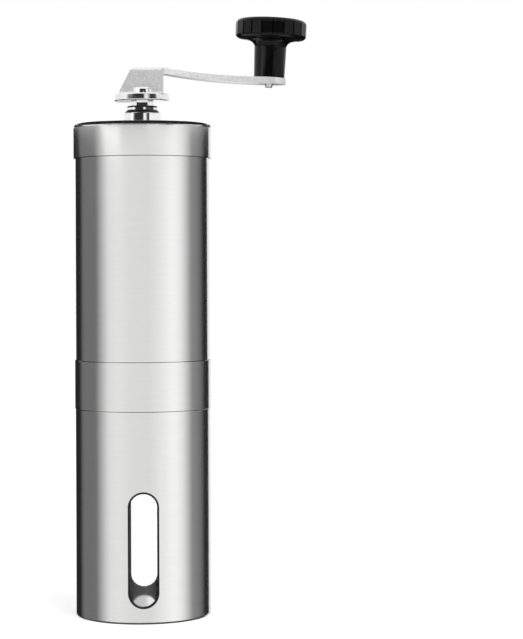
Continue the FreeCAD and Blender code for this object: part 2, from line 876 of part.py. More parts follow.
def make_neck_fold():
    """Side view of the neck: folded up out of the hub, with the arm's root behind its top."""
    back = neck_front + arm_thickness
    under_arm = neck_top_z - arm_thickness
    outer_fold = neck_fold + arm_thickness
    fold_center = (neck_front - neck_fold, hub_base_z + outer_fold)
    round_center = (neck_front + neck_round, neck_top_z - neck_round)
    toe_center = (neck_front - neck_fold, hub_top_z + neck_fold)
    side = outline_face((0, hub_base_z), [
        (fold_center[0], hub_base_z), quarter_arc(fold_center, outer_fold, -45, 0),
        (back, under_arm - neck_gusset), (neck_reach(), under_arm),
        (neck_reach(), neck_top_z), (round_center[0], neck_top_z),
        quarter_arc(round_center, neck_round, 135, 180), (neck_front, toe_center[1]),
        quarter_arc(toe_center, neck_fold, -45, -90), (0, hub_top_z),
    ])
    side.rotate(origin, up, 90)
    span = neck_left + neck_right + neck_fillet
    side.translate(Vector(-neck_left, 0, 0))
    return side.extrude(Vector(span, 0, 0))


def make_crank_arm():
    """Crank in one piece: hub disc, upright neck and bowed arm."""
    hub_radius = hub_diameter / 2
    hub = disc(hub_radius, hub_base_z, hub_top_z)
    hub = rounded(hub, hub_edge, [(hub_radius, hub_base_z), (hub_radius, hub_top_z)])
    fold_start = Vector(-hub_radius, neck_front - neck_fold, hub_base_z)
    hub = hub.cut(Part.makeBox(hub_diameter, hub_radius, hub_height, fold_start))
    crank = hub.fuse([make_neck(), make_arm_strip()])
    stud_hole = disc(stud_radius + press_gap, hub_base_z, hub_top_z)
    pin_hole = knob_place(disc(pin_neck_diameter / 2 + press_gap, -2 * arm_thickness, arm_thickness))
    return crank.cut([stud_hole, pin_hole]).removeSplitter()


# Knob

def make_knob_pin():
    """Shoulder pin riveted into the arm, with a head inside the knob."""
    seat = knob_length - knob_recess_depth + thrust_gap
    neck = pin_neck_diameter / 2
    shank = pin_diameter / 2
    head = pin_head_diameter / 2
    tip = pin_tip_diameter / 2
    tip_top = -arm_thickness
    tip_end = tip_top - pin_tip_length
    pin = turned([
        (0, tip_end), (tip, tip_end), (neck, tip_top), (neck, 0), (shank, 0), (shank, seat),
        (head, seat), (head, seat + pin_head_height), (0, seat + pin_head_height),
    ])
    return knob_place(pin)


def make_knob():
    """Plastic knob: tapered stem, concave flare and a faceted head."""
    head = knob_head_diameter / 2
    stem_base = knob_stem_base_diameter / 2
    stem_top = knob_stem_top_diameter / 2
    bore = pin_diameter / 2 + running_gap
    recess = knob_recess_diameter / 2
    recess_z = knob_length - knob_recess_depth
    head_base = knob_length - knob_head_height
    flare_base = head_base - knob_flare_height
    under = head - knob_head_bevel
    flare_middle = (stem_top + (under - stem_top) * knob_flare_out,
                    flare_base + knob_flare_height * knob_flare_up)
    bevel_top = head_base + knob_head_bevel
    bevel_center = (under, bevel_top)
    round_center = (head - knob_head_round, knob_length - knob_head_round)
    outline = outline_face((bore, thrust_gap), [
        (stem_base, thrust_gap), (stem_top, flare_base), (flare_middle, (under, head_base)),
        quarter_arc(bevel_center, knob_head_bevel, -45, 0), (head, round_center[1]),
        quarter_arc(round_center, knob_head_round, 45, 90), (recess, knob_length),
        (recess, recess_z), (bore, recess_z),
    ])
    body = outline.revolve(origin, up, 360)
    corners = []
    for index in range(knob_facets + 1):
        angle = 2 * math.pi * (index % knob_facets) / knob_facets
        corners.append(Vector(head * math.cos(angle), head * math.sin(angle), 0))
    facets = Part.Face(Part.makePolygon(corners)).extrude(Vector(0, 0, knob_length))
    return knob_place(body.common(facets))


def make_knob_cap():
    """Plug that closes the recess in the top of the knob."""
    radius = knob_recess_diameter / 2 - press_gap
    base = knob_length - knob_cap_height
    return knob_place(disc(radius, base, knob_length))


pieces = {
    "cup_shell": make_cup_shell(),
    "cup_floor": make_cup_floor(),
    "window_liner": make_window_liner(),
    "hopper_tube": make_hopper_tube(),
    "collar_band": make_collar_band(),
    "burr_housing": make_burr_housing(),
    "grip_ring": make_grip_ring(),
    "outer_burr": make_outer_burr(),
    "burr_retainer": make_burr_retainer(),
    "retainer_screws": make_retainer_screws(),
    "lower_bush": make_bush(carrier_hub_base_z, housing_top_z),
    "upper_bush": make_bush(spider_base_z, spider_top_z),
    "top_spider": make_top_spider(),
    "main_shaft": make_main_shaft(),
    "shaft_clip": make_shaft_clip(),
    "spring_washer": make_spring_washer(),
    "burr_spring": make_burr_spring(),
    "inner_burr": make_inner_burr(),
    "burr_core": make_burr_core(),
    "click_plate": make_click_plate(),
    "adjuster_dial": make_adjuster_dial(),
    "adjuster_nut": make_adjuster_nut(),
    "lid_shell": make_lid_shell(),
    "lid_bush": make_lid_bush(),
    "lid_nut": make_lid_nut(),
    "thrust_washer": make_thrust_washer(),
    "slip_washer": make_slip_washer(),
    "crank_spindle": make_crank_spindle(),
    "lock_washer": make_lock_washer(),
    "jam_nut": make_jam_nut(),
    "crank_nut": make_crank_nut(),
    "crank_arm": make_crank_arm(),
    "knob_pin": make_knob_pin(),
    "knob": make_knob(),
    "knob_cap": make_knob_cap(),
}

os.makedirs("parts", exist_ok=True)
for name, piece in pieces.items():
    piece.exportStep(os.path.join("parts", name + ".step"))
    print("%s: %d solid(s), %.1f mm3, valid %s" % (name, len(piece.Solids), piece.Volume, piece.isValid()))
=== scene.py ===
import json
import math

import bpy
from mathutils import Matrix, Vector


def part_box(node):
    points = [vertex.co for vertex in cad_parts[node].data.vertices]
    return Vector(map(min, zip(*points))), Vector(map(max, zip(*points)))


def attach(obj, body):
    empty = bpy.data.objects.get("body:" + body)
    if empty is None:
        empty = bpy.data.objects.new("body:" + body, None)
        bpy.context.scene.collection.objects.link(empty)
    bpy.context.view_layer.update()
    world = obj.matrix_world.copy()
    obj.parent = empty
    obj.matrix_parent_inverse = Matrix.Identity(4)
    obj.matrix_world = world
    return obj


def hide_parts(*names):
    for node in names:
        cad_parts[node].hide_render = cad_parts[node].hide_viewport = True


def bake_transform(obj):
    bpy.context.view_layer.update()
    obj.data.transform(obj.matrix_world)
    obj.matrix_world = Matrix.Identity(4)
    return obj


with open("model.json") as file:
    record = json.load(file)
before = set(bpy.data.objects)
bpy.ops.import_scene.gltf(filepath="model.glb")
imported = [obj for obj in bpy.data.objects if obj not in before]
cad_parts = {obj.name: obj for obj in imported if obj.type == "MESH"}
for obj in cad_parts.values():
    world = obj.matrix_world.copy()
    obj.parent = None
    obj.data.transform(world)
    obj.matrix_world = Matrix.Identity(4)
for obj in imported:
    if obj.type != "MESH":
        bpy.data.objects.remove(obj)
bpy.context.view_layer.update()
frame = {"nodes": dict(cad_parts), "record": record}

nodes = frame["nodes"]
scene = bpy.context.scene
mm = 0.001

# Picture and camera, with lengths in metres and picture places in pixels
picture_width = 523
picture_height = 639
sensor_length = 36.0
focal_pixels = 2104.0
camera_distance = 0.767
camera_height = 0.1288
axis_column = 142.8
horizon_row = 259.0
camera_roll = -0.22
camera_bearing = 0.3

# Studio surroundings, floor and lamp
ambient_level = 0.75
floor_reach = 4.0
floor_tone = 0.82
floor_lift = 0.42
floor_roughness = 0.9
lamp_place = (0.5, -0.7, 0.9)
lamp_aim = (0.0, 0.0, 0.1)
lamp_size = 0.8
lamp_power = 6.0

# Tones of the curved cards that the steel mirrors, as (bearing in degrees, tone) from left to right
tent_radius = 0.30
tent_low = -0.20
tent_high = 0.197
tent_tones = [
    (-180, 0.60), (-168, 0.50), (-165, 0.02), (-132, 0.02), (-118, 0.20), (-84, 0.20), (-58, 0.96),
    (-40, 1.02), (-20, 0.95), (10, 0.93), (30, 1.06), (48, 1.22), (58, 1.18), (68, 1.0), (88, 0.32),
    (102, 0.26), (114, 0.16), (123, 0.03), (143, 0.02),
]
lit_tone = 1.0
card_step = 4.0
ring_sides = 64
full_reach = 180.0
back_bearing = 180.0

# Dark cards in front of the bright pieces above the lid, as heights and spans of bearings
front_radius = 0.10
front_tone = 0.03
front_fade = 14.0
front_tiers = {
    "boss": (0.1830, 0.1895, ((-45, 11), (32, 46))),
    "nut": (0.1895, 0.1932, ((-50, 13), (33, 100))),
    "hub": (0.1932, 0.1972, ((-55, 12), (33, 62))),
    "cap": (0.1972, 0.2075, ((-25, 50),)),
}

# Rings above the lid and under the foot, whose edges are a radius and a height, and cards for knob and arm
lid_card_inner = (0.016, 0.18495)
lid_card_outer = (0.045, 0.1870)
lid_card_tone = 0.02
lid_card_reach = 120.0
lid_back_inner = (0.046, 0.1871)
lid_back_outer = (0.250, 0.2024)
lid_back_reach = 80.0
knob_card_low = 0.2215
knob_card_high = 0.2580
knob_card_span = (-22.0, 52.0)
arm_card_high = 0.250
arm_card_tones = [(-74, 1.0), (-62, 2.6), (-40, 2.6), (-32, 1.0)]
card_thickness = 0.0001
under_card_inner = (0.0, -0.020)
under_card_outer = (0.050, -0.020)
under_card_tone = 0.10

# Window of the cup, the cup's wall, and painted shade inside the cup, round its windows and along the rims
# of the lid and band
window_half_width = 5.5 * mm
window_low = 5.6 * mm
window_high = 46.7 * mm
window_lip = 0.8 * mm
lip_outside = -0.25
lip_inside = 0.15
cup_inside = 23.95 * mm
# Painted shade: dark tone of the cup's inside wall and of the band round its windows
cup_shade_tone = 0.02
# Painted shade along the rims of the lid and the band: its width and its tone
rim_shade_width = 0.15 * mm
rim_shade_tone = 0.22

# Fine marks: the part of a noise that is used, the depth of the marks, and tones and gloss of the finishes
noise_span = (0.25, 0.75)
tint_span = (0.3, 0.7)
turned_depth = 0.01 * mm
grain_strength = 0.5
satin_tones = (0.725, 0.755)
satin_warmth = 0.004
satin_gloss = (0.13, 0.17)
blasted_tones = (0.70, 1.00)
blasted_gloss = (0.30, 0.38)
blasted_depth = 0.05 * mm
hub_tone = 0.84
hub_gloss = 0.09
clear_tint = (0.95, 0.97, 0.97, 1)
clear_gloss = (0.02, 0.06)
clear_cover = (0.03, 0.05)
clear_index = 1.49

# Places of the crank's hub and of the knob
hub_top = 188.95 * mm
knob_seat = (46.3 * mm, 0.0, 194.8 * mm)
knob_tilt = math.radians(2.6)

# Outline of the knob in millimetres about its own axis, its lands, and the steps along each stretch
knob_length = 21.2
knob_base = 0.1
knob_bore = 2.05
knob_recess = 4.5
knob_recess_floor = 14.7
knob_head = 13.0
knob_head_height = 6.95
knob_round = 2.0
knob_bevel = 1.6
knob_stem_base = 5.6
knob_stem_top = 5.85
knob_flare_height = 3.6
knob_flare_out = 0.22
knob_flare_up = 0.70
knob_lands = 20
knob_groove_depth = 0.45
knob_groove_share = 0.075
knob_steps_per_land = 26
stem_steps = 5
flare_steps = 10
bevel_steps = 8
rim_steps = 4
round_steps = 10
merge_gap = 0.001 * mm
sharp_angle = math.radians(40)

# Spring above the inner burr
spring_wire = 1.0 * mm
spring_turns = 6.0
spring_steps = 48
wire_sides = 14


# Small helpers for node trees

def add_node(tree, kind, **settings):
    """Node of a kind with its plain settings."""
    node = tree.nodes.new(kind)
    for name, value in settings.items():
        setattr(node, name, value)
    return node


def set_inputs(node, **values):
    """Unlinked values of a node's sockets, by socket name with spaces as underscores."""
    for name, value in values.items():
        node.inputs[name.replace("_", " ")].default_value = value


def math_node(tree, operation, first, second=None):
    """Math node on links or plain numbers, returned as its output."""
    node = add_node(tree, "ShaderNodeMath", operation=operation)
    for index, value in enumerate((first, second)):
        if value is None:
            continue
        if isinstance(value, (int, float)):
            node.inputs[index].default_value = value
        else:
            tree.links.new(value, node.inputs[index])
    return node.outputs[0]


def slant(tree, first, second):
    """Length of the slanted side over two lengths at a right angle."""
    across = math_node(tree, "MULTIPLY", first, first)
    along = math_node(tree, "MULTIPLY", second, second)
    return math_node(tree, "SQRT", math_node(tree, "ADD", across, along))


def new_group(name, inputs, outputs):
    """Shader node group with named number inputs and number outputs."""
    group = bpy.data.node_groups.new(name, "ShaderNodeTree")
    for title, value in inputs.items():
        socket = group.interface.new_socket(title, in_out="INPUT", socket_type="NodeSocketFloat")
        socket.default_value = value
    for title in outputs:
        group.interface.new_socket(title, in_out="OUTPUT", socket_type="NodeSocketFloat")
    return group, group.nodes.new("NodeGroupInput"), group.nodes.new("NodeGroupOutput")


# Shared surface effects

def split_place(tree):
    """Place on the piece, split into its three lengths."""
    place = add_node(tree, "ShaderNodeTexCoord")
    split = add_node(tree, "ShaderNodeSeparateXYZ")
    tree.links.new(place.outputs["Object"], split.inputs[0])
    return split.outputs


def make_turned_lines():
    """Fine lines that run round the mill's axis, as a lathe or a polishing belt leaves them."""
    group, given, result = new_group("turned_lines", {"Lines": 5000.0, "Runs": 4.0}, ["Lines"])
    x, y, z = split_place(group)
    angle = math_node(group, "ARCTAN2", y, x)
    radius = slant(group, x, y)
    joined = add_node(group, "ShaderNodeCombineXYZ")
    round_axis = math_node(group, "MULTIPLY", angle, given.outputs["Runs"])
    group.links.new(round_axis, joined.inputs["X"])
    group.links.new(math_node(group, "MULTIPLY", radius, given.outputs["Lines"]), joined.inputs["Y"])
    group.links.new(math_node(group, "MULTIPLY", z, given.outputs["Lines"]), joined.inputs["Z"])
    noise = add_node(group, "ShaderNodeTexNoise")
    set_inputs(noise, Scale=1.0, Detail=2.0, Roughness=0.6)
    group.links.new(joined.outputs[0], noise.inputs["Vector"])
    group.links.new(noise.outputs["Fac"], result.inputs["Lines"])
    return group


def make_grain():
    """Even fine grain, as blasting or a mould's surface leaves it, with a broad cloud over it."""
    group, given, result = new_group("grain", {"Fine": 2500.0, "Broad": 90.0}, ["Fine", "Broad"])
    place = add_node(group, "ShaderNodeTexCoord")
    for name, detail in (("Fine", 3.0), ("Broad", 4.0)):
        noise = add_node(group, "ShaderNodeTexNoise")
        set_inputs(noise, Detail=detail, Roughness=0.55)
        group.links.new(place.outputs["Object"], noise.inputs["Vector"])
        group.links.new(given.outputs[name], noise.inputs["Scale"])
        group.links.new(noise.outputs["Fac"], result.inputs[name])
    return group


def make_height_step():
    """Mask that is 0 below a height and 1 above it."""
    group, given, result = new_group("height_step", {"Height": 0.1, "Soft": 0.0002}, ["Above"])
    z = split_place(group)[2]
    ramp = add_node(group, "ShaderNodeMapRange", interpolation_type="SMOOTHSTEP")
    group.links.new(z, ramp.inputs["Value"])
    group.links.new(given.outputs["Height"], ramp.inputs["From Min"])
    upper = math_node(group, "ADD", given.outputs["Height"], given.outputs["Soft"])
    group.links.new(upper, ramp.inputs["From Max"])
    group.links.new(ramp.outputs["Result"], result.inputs["Above"])
    return group


def make_window_shade_mask():
    """Mask for painted shade: 1 on a band round the cup's windows and 0 away from it."""
    group, given, result = new_group("window_shade_mask", {"Lip": window_lip}, ["Edge"])
    x, _, z = split_place(group)
    low_turn = math_node(group, "SUBTRACT", window_low + window_half_width, z)
    high_turn = math_node(group, "SUBTRACT", z, window_high - window_half_width)
    beyond = math_node(group, "MAXIMUM", math_node(group, "MAXIMUM", low_turn, high_turn), 0.0)
    inside = math_node(group, "SUBTRACT", window_half_width, slant(group, x, beyond))
    ramp = add_node(group, "ShaderNodeMapRange", interpolation_type="SMOOTHSTEP")
    group.links.new(inside, ramp.inputs["Value"])
    lip = given.outputs["Lip"]
    group.links.new(math_node(group, "MULTIPLY", lip, lip_outside), ramp.inputs["From Min"])
    group.links.new(math_node(group, "MULTIPLY", lip, lip_inside), ramp.inputs["From Max"])
    group.links.new(ramp.outputs["Result"], result.inputs["Edge"])
    return group


def make_inside_wall_shade():
    """Mask for painted shade: 1 on the inside of a round wall and 0 on its outside."""
    group, given, result = new_group("inside_wall_shade", {"Radius": cup_inside}, ["Inside"])
    x, y, _ = split_place(group)
    inside = math_node(group, "LESS_THAN", slant(group, x, y), given.outputs["Radius"])
    group.links.new(inside, result.inputs["Inside"])
    return group


turned_lines = make_turned_lines()
window_shade_mask = make_window_shade_mask()
inside_wall_shade = make_inside_wall_shade()
grain = make_grain()
height_step = make_height_step()


# Materials

def new_material(name):
    """Empty material with a Principled surface, returned with its tree and shader."""
    material = bpy.data.materials.new(name)
    material.use_nodes = True
    tree = material.node_tree
    return material, tree, tree.nodes["Principled BSDF"]


def use_group(tree, group, **values):
    """A shared effect placed in a material."""
    node = add_node(tree, "ShaderNodeGroup", node_tree=group)
    set_inputs(node, **values)
    return node


def spread(tree, value, low, high):
    """A noise mask stretched over a range of values."""
    node = add_node(tree, "ShaderNodeMapRange")
    set_inputs(node, From_Min=noise_span[0], From_Max=noise_span[1], To_Min=low, To_Max=high)
    tree.links.new(value, node.inputs["Value"])
    return node.outputs["Result"]


def tint(tree, value, dark, light):
    """Colour between two tones by a noise mask."""
    ramp = add_node(tree, "ShaderNodeValToRGB")
    for element, position, tone in zip(ramp.color_ramp.elements, tint_span, (dark, light)):
        element.position = position
        element.color = (*tone, 1)
    tree.links.new(value, ramp.inputs["Fac"])
    return ramp.outputs["Color"]


def relief(tree, shader, value, depth, strength):
    """Bump from a mask, with its depth in metres."""
    bump = add_node(tree, "ShaderNodeBump")
    set_inputs(bump, Strength=strength, Distance=depth)
    tree.links.new(value, bump.inputs["Height"])
    tree.links.new(bump.outputs["Normal"], shader.inputs["Normal"])


def grey(tone, warm=0.0):
    """Neutral tone, a little warm where asked."""
    return (tone, tone * (1 - warm), tone * (1 - 2 * warm))


def turned_metal(name, dark, light, gloss, lines, strength):
    """Metal with fine lines round the axis that vary its tone, and clouds that vary its gloss."""
    material, tree, shader = new_material(name)
    marks = use_group(tree, turned_lines, Lines=lines)
    clouds = use_group(tree, grain)
    tree.links.new(tint(tree, marks.outputs["Lines"], dark, light), shader.inputs["Base Color"])
    tree.links.new(spread(tree, clouds.outputs["Broad"], *gloss), shader.inputs["Roughness"])
    relief(tree, shader, marks.outputs["Lines"], turned_depth, strength)
    set_inputs(shader, Metallic=1.0)
    return material


def grained(name, dark, light, gloss, fine, depth, sheen=0.5):
    """Plastic, rubber or ceramic with an even fine grain in its tone, gloss and relief."""
    material, tree, shader = new_material(name)
    marks = use_group(tree, grain, Fine=fine)
    tree.links.new(tint(tree, marks.outputs["Fine"], dark, light), shader.inputs["Base Color"])
    tree.links.new(spread(tree, marks.outputs["Broad"], *gloss), shader.inputs["Roughness"])
    relief(tree, shader, marks.outputs["Fine"], depth, grain_strength)
    set_inputs(shader, Specular_IOR_Level=sheen)
    return material


def make_crank_metal():
    """Bead blasted neck and arm above a hub whose rim is polished."""
    material, tree, shader = new_material("crank_metal")
    marks = use_group(tree, grain, Fine=2300.0, Broad=60.0)
    above = use_group(tree, height_step, Height=hub_top).outputs["Above"]
    blasted = tint(tree, marks.outputs["Fine"], grey(blasted_tones[0]), grey(blasted_tones[1]))
    mix = add_node(tree, "ShaderNodeMix", data_type="RGBA")
    tree.links.new(above, mix.inputs["Factor"])
    mix.inputs["A"].default_value = (*grey(hub_tone), 1)
    tree.links.new(blasted, mix.inputs["B"])
    tree.links.new(mix.outputs["Result"], shader.inputs["Base Color"])
    rough = math_node(tree, "MULTIPLY", above, spread(tree, marks.outputs["Broad"], *blasted_gloss))
    tree.links.new(math_node(tree, "ADD", rough, hub_gloss), shader.inputs["Roughness"])
    pits = math_node(tree, "MULTIPLY", above, marks.outputs["Fine"])
    relief(tree, shader, pits, blasted_depth, grain_strength)
    set_inputs(shader, Metallic=1.0)
    return material


def satin_metal(name):
    """Satin steel of the outer shells."""
    dark, light = (grey(tone, satin_warmth) for tone in satin_tones)
    return turned_metal(name, dark, light, satin_gloss, lines=5000.0, strength=0.03)


def paint_shade_where(material, mask, tone):
    """Painted shade: a dark tone on a metal where a mask is 1."""
    tree = material.node_tree
    shader = tree.nodes["Principled BSDF"]
    satin = shader.inputs["Base Color"].links[0].from_socket
    mix = add_node(tree, "ShaderNodeMix", data_type="RGBA")
    tree.links.new(mask, mix.inputs["Factor"])
    tree.links.new(satin, mix.inputs["A"])
    mix.inputs["B"].default_value = (*grey(tone), 1)
    tree.links.new(mix.outputs["Result"], shader.inputs["Base Color"])


def make_cup_metal():
    """Satin steel cup, with painted shade on its inside wall and round its windows."""
    material = satin_metal("cup_metal")
    tree = material.node_tree
    edge = use_group(tree, window_shade_mask).outputs["Edge"]
    inside = use_group(tree, inside_wall_shade).outputs["Inside"]
    # Painted shade on the cup's inside wall and round its windows
    paint_shade_where(material, math_node(tree, "MAXIMUM", edge, inside), cup_shade_tone)
    return material


def make_rim_shaded_metal(name, node, open_top):
    """Satin steel sleeve with painted shade along the rim of its mouth, and along its top rim where that
    is open.
    """
    low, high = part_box(node)
    material = satin_metal(name)
    tree = material.node_tree
    above = use_group(tree, height_step, Height=low[2] + rim_shade_width).outputs["Above"]
    edges = math_node(tree, "SUBTRACT", 1.0, above)
    if open_top:
        upper = use_group(tree, height_step, Height=high[2] - 2 * rim_shade_width).outputs["Above"]
        edges = math_node(tree, "MAXIMUM", edges, upper)
    # Painted shade along the sleeve's lower rim, and along its top rim where that is open
    paint_shade_where(material, edges, rim_shade_tone)
    return material


def make_clear_plastic():
    """Clear plastic sleeve, faintly marked by handling."""
    material, tree, shader = new_material("clear_plastic")
    marks = use_group(tree, grain, Broad=120.0)
    tree.links.new(spread(tree, marks.outputs["Broad"], *clear_gloss), shader.inputs["Roughness"])
    tree.links.new(spread(tree, marks.outputs["Fine"], *clear_cover), shader.inputs["Alpha"])
    set_inputs(shader, Base_Color=clear_tint, IOR=clear_index)
    return material


finishes = {
    "satin_steel": satin_metal("satin_steel"),
    "cup_metal": make_cup_metal(),
    "lid_metal": make_rim_shaded_metal("lid_metal", "lid_shell", open_top=False),
    "band_metal": make_rim_shaded_metal("band_metal", "collar_band", open_top=True),
    "bright_floor": turned_metal(
        "bright_floor", grey(0.86), grey(0.92), gloss=(0.07, 0.12), lines=3000.0, strength=0.02),
    "polished_steel": turned_metal(
        "polished_steel", grey(0.84), grey(0.89), gloss=(0.03, 0.07), lines=6000.0, strength=0.02),
    "plain_steel": turned_metal(
        "plain_steel", grey(0.48), grey(0.60), gloss=(0.22, 0.34), lines=4000.0, strength=0.15),
    "dark_steel": turned_metal(
        "dark_steel", grey(0.03), grey(0.06), gloss=(0.30, 0.42), lines=4000.0, strength=0.10),
    "brass": turned_metal(
        "brass", (0.68, 0.50, 0.22), (0.80, 0.62, 0.32), gloss=(0.18, 0.30), lines=4000.0, strength=0.12),
    "blasted_steel": make_crank_metal(),
    "knob_plastic": grained(
        "knob_plastic", grey(0.001), grey(0.003), gloss=(0.12, 0.17), fine=3000.0, depth=0.003 * mm,
        sheen=0.16),
    "housing_plastic": grained(
        "housing_plastic", grey(0.018), grey(0.030), gloss=(0.45, 0.58), fine=2500.0, depth=0.02 * mm),
    "washer_plastic": grained(
        "washer_plastic", grey(0.006), grey(0.012), gloss=(0.40, 0.50), fine=3000.0, depth=0.01 * mm),
    "silicone": grained(
        "silicone", grey(0.020), grey(0.032), gloss=(0.60, 0.72), fine=2500.0, depth=0.01 * mm),
    "ceramic": grained(
        "ceramic", grey(0.80, 0.02), grey(0.88, 0.02), gloss=(0.30, 0.42), fine=3500.0, depth=0.01 * mm),
    "clear_plastic": make_clear_plastic(),
}

node_finish = {part["node"]: part["material_slot"] for part in frame["record"]["subparts"]}
node_finish["cup_floor"] = "bright_floor"
node_finish["cup_shell"] = "cup_metal"
node_finish["lid_shell"] = "lid_metal"
node_finish["collar_band"] = "band_metal"


def dress_nodes():
    """Finish of every solid of the mill."""
    for name, piece in nodes.items():
        piece.data.materials.clear()
        piece.data.materials.append(finishes[node_finish[name]])


# Pieces made by a rule

def new_rule(name, numbers):
    """Geometry node tree with a geometry, named numbers and a material going in."""
    tree = bpy.data.node_groups.new(name, "GeometryNodeTree")
    tree.interface.new_socket("Geometry", in_out="INPUT", socket_type="NodeSocketGeometry")
    for title, value in numbers.items():
        kind = "NodeSocketInt" if isinstance(value, int) else "NodeSocketFloat"
        tree.interface.new_socket(title, in_out="INPUT", socket_type=kind)
    tree.interface.new_socket("Material", in_out="INPUT", socket_type="NodeSocketMaterial")
    tree.interface.new_socket("Geometry", in_out="OUTPUT", socket_type="NodeSocketGeometry")
    return tree, tree.nodes.new("NodeGroupInput"), tree.nodes.new("NodeGroupOutput")


def close_rule(tree, given, result, geometry):
    """End of a rule: one real mesh with smooth faces, sharp corners and its material."""
    real = add_node(tree, "GeometryNodeRealizeInstances")
    smooth = add_node(tree, "GeometryNodeSetShadeSmooth", domain="FACE")
    sharp = add_node(tree, "GeometryNodeSetShadeSmooth", domain="EDGE")
    sharp.inputs["Shade Smooth"].default_value = False
    bend = add_node(tree, "GeometryNodeInputMeshEdgeAngle")
    steep = math_node(tree, "GREATER_THAN", bend.outputs["Unsigned Angle"], sharp_angle)
    finish = add_node(tree, "GeometryNodeSetMaterial")
    tree.links.new(geometry, real.inputs[0])
    tree.links.new(real.outputs[0], smooth.inputs["Geometry"])
    tree.links.new(smooth.outputs[0], sharp.inputs["Geometry"])
    tree.links.new(steep, sharp.inputs["Selection"])
    tree.links.new(sharp.outputs[0], finish.inputs["Geometry"])
    tree.links.new(given.outputs["Material"], finish.inputs["Material"])
    tree.links.new(finish.outputs[0], result.inputs["Geometry"])


def grow(name, tree, mesh, numbers, material):
    """Piece that a rule makes from a start mesh and its named inputs."""
    start = bpy.data.objects.new(name + "_start", mesh)
    scene.collection.objects.link(start)
    modifier = start.modifiers.new("rule", "NODES")
    modifier.node_group = tree
    values = dict(numbers, Material=material)
    for socket in tree.interface.items_tree:
        if socket.in_out == "INPUT" and socket.name in values:
            modifier[socket.identifier] = values[socket.name]
    bpy.context.view_layer.update()
    graph = bpy.context.evaluated_depsgraph_get()
    grown = bpy.data.meshes.new_from_object(start.evaluated_get(graph))
    bpy.data.objects.remove(start)
    piece = bpy.data.objects.new(name, grown)
    scene.collection.objects.link(piece)
    return piece


def arc(center, radius, start, end, steps):
    """Points on an arc in the plane of a profile, angles in degrees."""
    points = []
    for step in range(steps + 1):
        angle = math.radians(start + (end - start) * step / steps)
        points.append((center[0] + radius * math.cos(angle), center[1] + radius * math.sin(angle)))
    return points


def flare_points(start, middle, end, steps):
    """Points on the hollow curve between the stem and the head."""
    points = []
    pull = (2 * middle[0] - (start[0] + end[0]) / 2, 2 * middle[1] - (start[1] + end[1]) / 2)
    for step in range(1, steps):
        t = step / steps
        weights = ((1 - t) ** 2, 2 * t * (1 - t), t ** 2)
        point = [sum(w * p[axis] for w, p in zip(weights, (start, pull, end))) for axis in (0, 1)]
        points.append(tuple(point))
    return points


def even_points(start, end, steps):
    """Points between two corners of a profile, with neither corner."""
    shares = [step / steps for step in range(1, steps)]
    return [(start[0] + (end[0] - start[0]) * t, start[1] + (end[1] - start[1]) * t) for t in shares]


def knob_profile():
    """Closed outline of half the knob: bore, foot, stem, flare, head and recess, in millimetres."""
    head_base = knob_length - knob_head_height
    under = knob_head - knob_bevel
    stem_foot = (knob_stem_base, knob_base)
    stem_end = (knob_stem_top, head_base - knob_flare_height)
    flare_middle = (knob_stem_top + (under - knob_stem_top) * knob_flare_out,
                    stem_end[1] + knob_flare_height * knob_flare_up)
    rim_low = (under, head_base + knob_bevel)
    rim_high = (knob_head - knob_round, knob_length - knob_round)
    points = [(knob_bore, knob_base), stem_foot]
    points += even_points(stem_foot, stem_end, stem_steps) + [stem_end]
    points += flare_points(stem_end, flare_middle, (under, head_base), flare_steps)
    points += arc(rim_low, knob_bevel, -90, 0, bevel_steps)
    points += even_points((knob_head, rim_low[1]), (knob_head, rim_high[1]), rim_steps)
    points += arc(rim_high, knob_round, 0, 90, round_steps)
    points += [(knob_recess, knob_length), (knob_recess, knob_recess_floor)]
    points += [(knob_bore, knob_recess_floor), (knob_bore, knob_base)]
    return points


